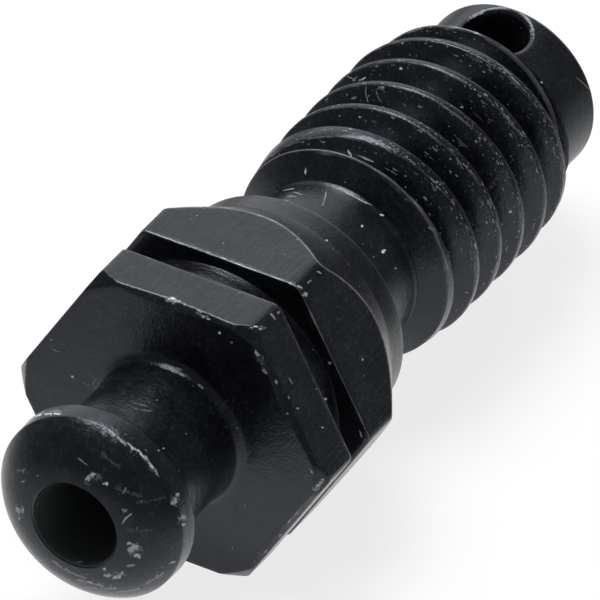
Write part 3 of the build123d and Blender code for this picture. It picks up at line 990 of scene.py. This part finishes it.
def build_floor(level):
    """The pale floor. To the camera, to reflections and to clear glass most of it shows as plain white, and the
    rest keeps the screw's shadow."""
    sizes = group("stage")
    reach = np.array([[-1, -1], [1, -1], [1, 1], [-1, 1]]) * FLOOR_REACH
    mesh = bpy.data.meshes.new("floor")
    mesh.from_pydata(np.column_stack([reach, np.full(4, level)]), [], [(0, 1, 2, 3)])
    nodes = Nodes(bpy.data.materials.new("floor_white"))
    shader = nodes.tree.nodes["Principled BSDF"]
    tone = (*[sizes.floor_tone] * 3, 1)
    nodes.fill(shader, {"Base Color": tone, "Roughness": 0.9, "Specular IOR Level": 0.0})
    glow = nodes.add("ShaderNodeEmission").outputs[0]
    shown = nodes.times(seen_ray(nodes), sizes.floor_glow)
    nodes.show(nodes.add("ShaderNodeMixShader", {0: shown, 1: shader.outputs[0], 2: glow}).outputs[0])
    mesh.materials.append(nodes.owner)
    linked("floor", mesh)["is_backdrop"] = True


def build_surround(level):
    """What the screw's reflections see instead of the white floor and world, and nothing else sees: a ground that
    darkens outwards and a dome with the studio's glow. It is one surface of revolution about the upright axis:
    point = (r cos b, r sin b, height), with rings on the ground and then r = R cos e, height = R sin e."""
    dome = 950.0
    rise = np.radians(np.linspace(0, 90, 25))
    rings = np.array([9.0, 60.0, 260.0, 940.0])
    radius = np.concatenate([rings, dome * np.cos(rise)])[:, None] * MM
    height = np.concatenate([0 * rings, dome * np.sin(rise)])[:, None] * MM + level + 0.03 * MM
    turn = np.linspace(0, 2 * np.pi, 65)
    points = np.stack([radius * np.cos(turn), radius * np.sin(turn), height + 0 * turn], axis=-1)
    surround = linked("dark_surround", grid_mesh("dark_surround", points))
    nodes = Nodes(bpy.data.materials.new("dark_surround"))
    where = nodes.add("ShaderNodeTexCoord").outputs["Object"]
    away = nodes.vector("LENGTH", "Value", where)
    near = nodes.spread(away, 12 * MM, 25 * MM, 1.0, 0.44)
    far = nodes.spread(away, 25 * MM, 60 * MM, 1.0, 0.40)
    upright = nodes.add("ShaderNodeSeparateXYZ", {0: where}).outputs["Z"]
    above = nodes.maths("GREATER_THAN", upright, 0.0)
    ground = nodes.times(nodes.times(near, far), nodes.maths("SUBTRACT", 1.0, above))
    walls = nodes.times(above, studio_glow(nodes, nodes.vector("NORMALIZE", "Vector", where)))
    nodes.show(nodes.add("ShaderNodeEmission", {"Strength": nodes.plus(ground, walls)}).outputs[0])
    surround.data.materials.append(nodes.owner)
    for ray in ("camera", "diffuse", "shadow", "transmission"):
        setattr(surround, "visible_" + ray, False)
    surround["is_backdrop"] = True


def build_lights():
    """The soft studio world, which shows as white, and one large lamp overhead."""
    world = bpy.data.worlds.new("studio")
    bpy.context.scene.world = world
    nodes = Nodes(world)
    direction = nodes.add("ShaderNodeTexCoord").outputs["Generated"]
    strength = nodes.most(studio_glow(nodes, direction), seen_ray(nodes))
    nodes.fill(nodes.tree.nodes["Background"], {"Strength": strength, "Color": (1, 1, 1, 1)})
    lamp = bpy.data.lights.new("overhead", "AREA")
    lamp.shape = "SQUARE"
    lamp.size = LAMP_WIDTH
    lamp.energy = group("stage").lamp_power
    overhead = linked("overhead", lamp)
    overhead.location = LAMP_PLACE
    overhead.rotation_euler = (-overhead.location).to_track_quat("-Z", "Y").to_euler()


def build_camera():
    """The camera at the picture's angle."""
    sizes = group("stage")
    camera = bpy.data.cameras.new("camera")
    camera.lens = sizes.lens
    camera.clip_start, camera.clip_end = 0.1, 3.0
    eye = linked("camera", camera)
    turn = Matrix((ACROSS, UPWARD, BACK)).transposed().to_4x4()
    eye.matrix_world = Matrix.Translation(np.array(sizes.aim) + BACK * sizes.distance) @ turn
    bpy.context.scene.camera = eye
    bpy.context.scene.view_settings.view_transform = "Standard"


def build_stage():
    """A pale floor, what the reflections see, the lights and the camera."""
    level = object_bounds()[0][2]
    build_floor(level)
    build_surround(level)
    build_lights()
    build_camera()


class BLEEDER_OT_nipple(bpy.types.Operator):
    """Build the hose nipple"""

    bl_idname = "bleeder.nipple"
    bl_label = "Nipple"

    def execute(self, context):
        build_nipple()
        return {"FINISHED"}


class BLEEDER_OT_hexagon(bpy.types.Operator):
    """Build the grooved hexagon and its collar"""

    bl_idname = "bleeder.hexagon"
    bl_label = "Hexagon"

    def execute(self, context):
        build_hexagon()
        return {"FINISHED"}


class BLEEDER_OT_thread(bpy.types.Operator):
    """Build the relief neck and the thread"""

    bl_idname = "bleeder.thread"
    bl_label = "Thread"

    def execute(self, context):
        build_thread()
        return {"FINISHED"}


class BLEEDER_OT_tip(bpy.types.Operator):
    """Build the drilled tip with its cone seat"""

    bl_idname = "bleeder.tip"
    bl_label = "Tip"

    def execute(self, context):
        build_tip()
        return {"FINISHED"}


class BLEEDER_OT_marks_and_highlights(bpy.types.Operator):
    """Lay the chips, specks and fibres, and the painted highlights, on the finished pieces"""

    bl_idname = "bleeder.marks"
    bl_label = "Marks"

    def execute(self, context):
        build_marks_and_highlights()
        return {"FINISHED"}


class BLEEDER_OT_stage(bpy.types.Operator):
    """Build the floor, the lights and the camera"""

    bl_idname = "bleeder.stage"
    bl_label = "Stage"

    def execute(self, context):
        build_stage()
        return {"FINISHED"}


class BLEEDER_PT_panel(bpy.types.Panel):
    """Sizes and colours of the screw, and a button for each piece"""

    bl_idname = "BLEEDER_PT_panel"
    bl_label = "Bleeder Screw"
    bl_space_type = "VIEW_3D"
    bl_region_type = "UI"
    bl_category = "Bleeder Screw"

    def draw(self, context):
        for kind in OPERATORS:
            self.layout.operator(kind.bl_idname)
        for key, sizes in GROUPS.items():
            box = self.layout.box()
            for name in sizes.__annotations__:
                box.prop(getattr(context.scene, key), name)


OPERATORS = (
    BLEEDER_OT_nipple, BLEEDER_OT_hexagon, BLEEDER_OT_thread, BLEEDER_OT_tip, BLEEDER_OT_marks_and_highlights, BLEEDER_OT_stage,
)


def register():
    """Registers the groups, the operators and the panel, and gives the scene its groups."""
    for kind in (*GROUPS.values(), *OPERATORS, BLEEDER_PT_panel):
        bpy.utils.register_class(kind)
    for key, sizes in GROUPS.items():
        setattr(bpy.types.Scene, key, PointerProperty(type=sizes))


def unregister():
    """Takes the groups, the operators and the panel away again."""
    for key in GROUPS:
        delattr(bpy.types.Scene, key)
    for kind in (BLEEDER_PT_panel, *reversed(OPERATORS), *reversed(GROUPS.values())):
        bpy.utils.unregister_class(kind)


def main():
    """Builds every piece and the stage."""
    register()
    bpy.ops.bleeder.nipple()
    bpy.ops.bleeder.hexagon()
    bpy.ops.bleeder.thread()
    bpy.ops.bleeder.tip()
    bpy.ops.bleeder.marks()
    bpy.ops.bleeder.stage()


if __name__ == "__main__":
    main()
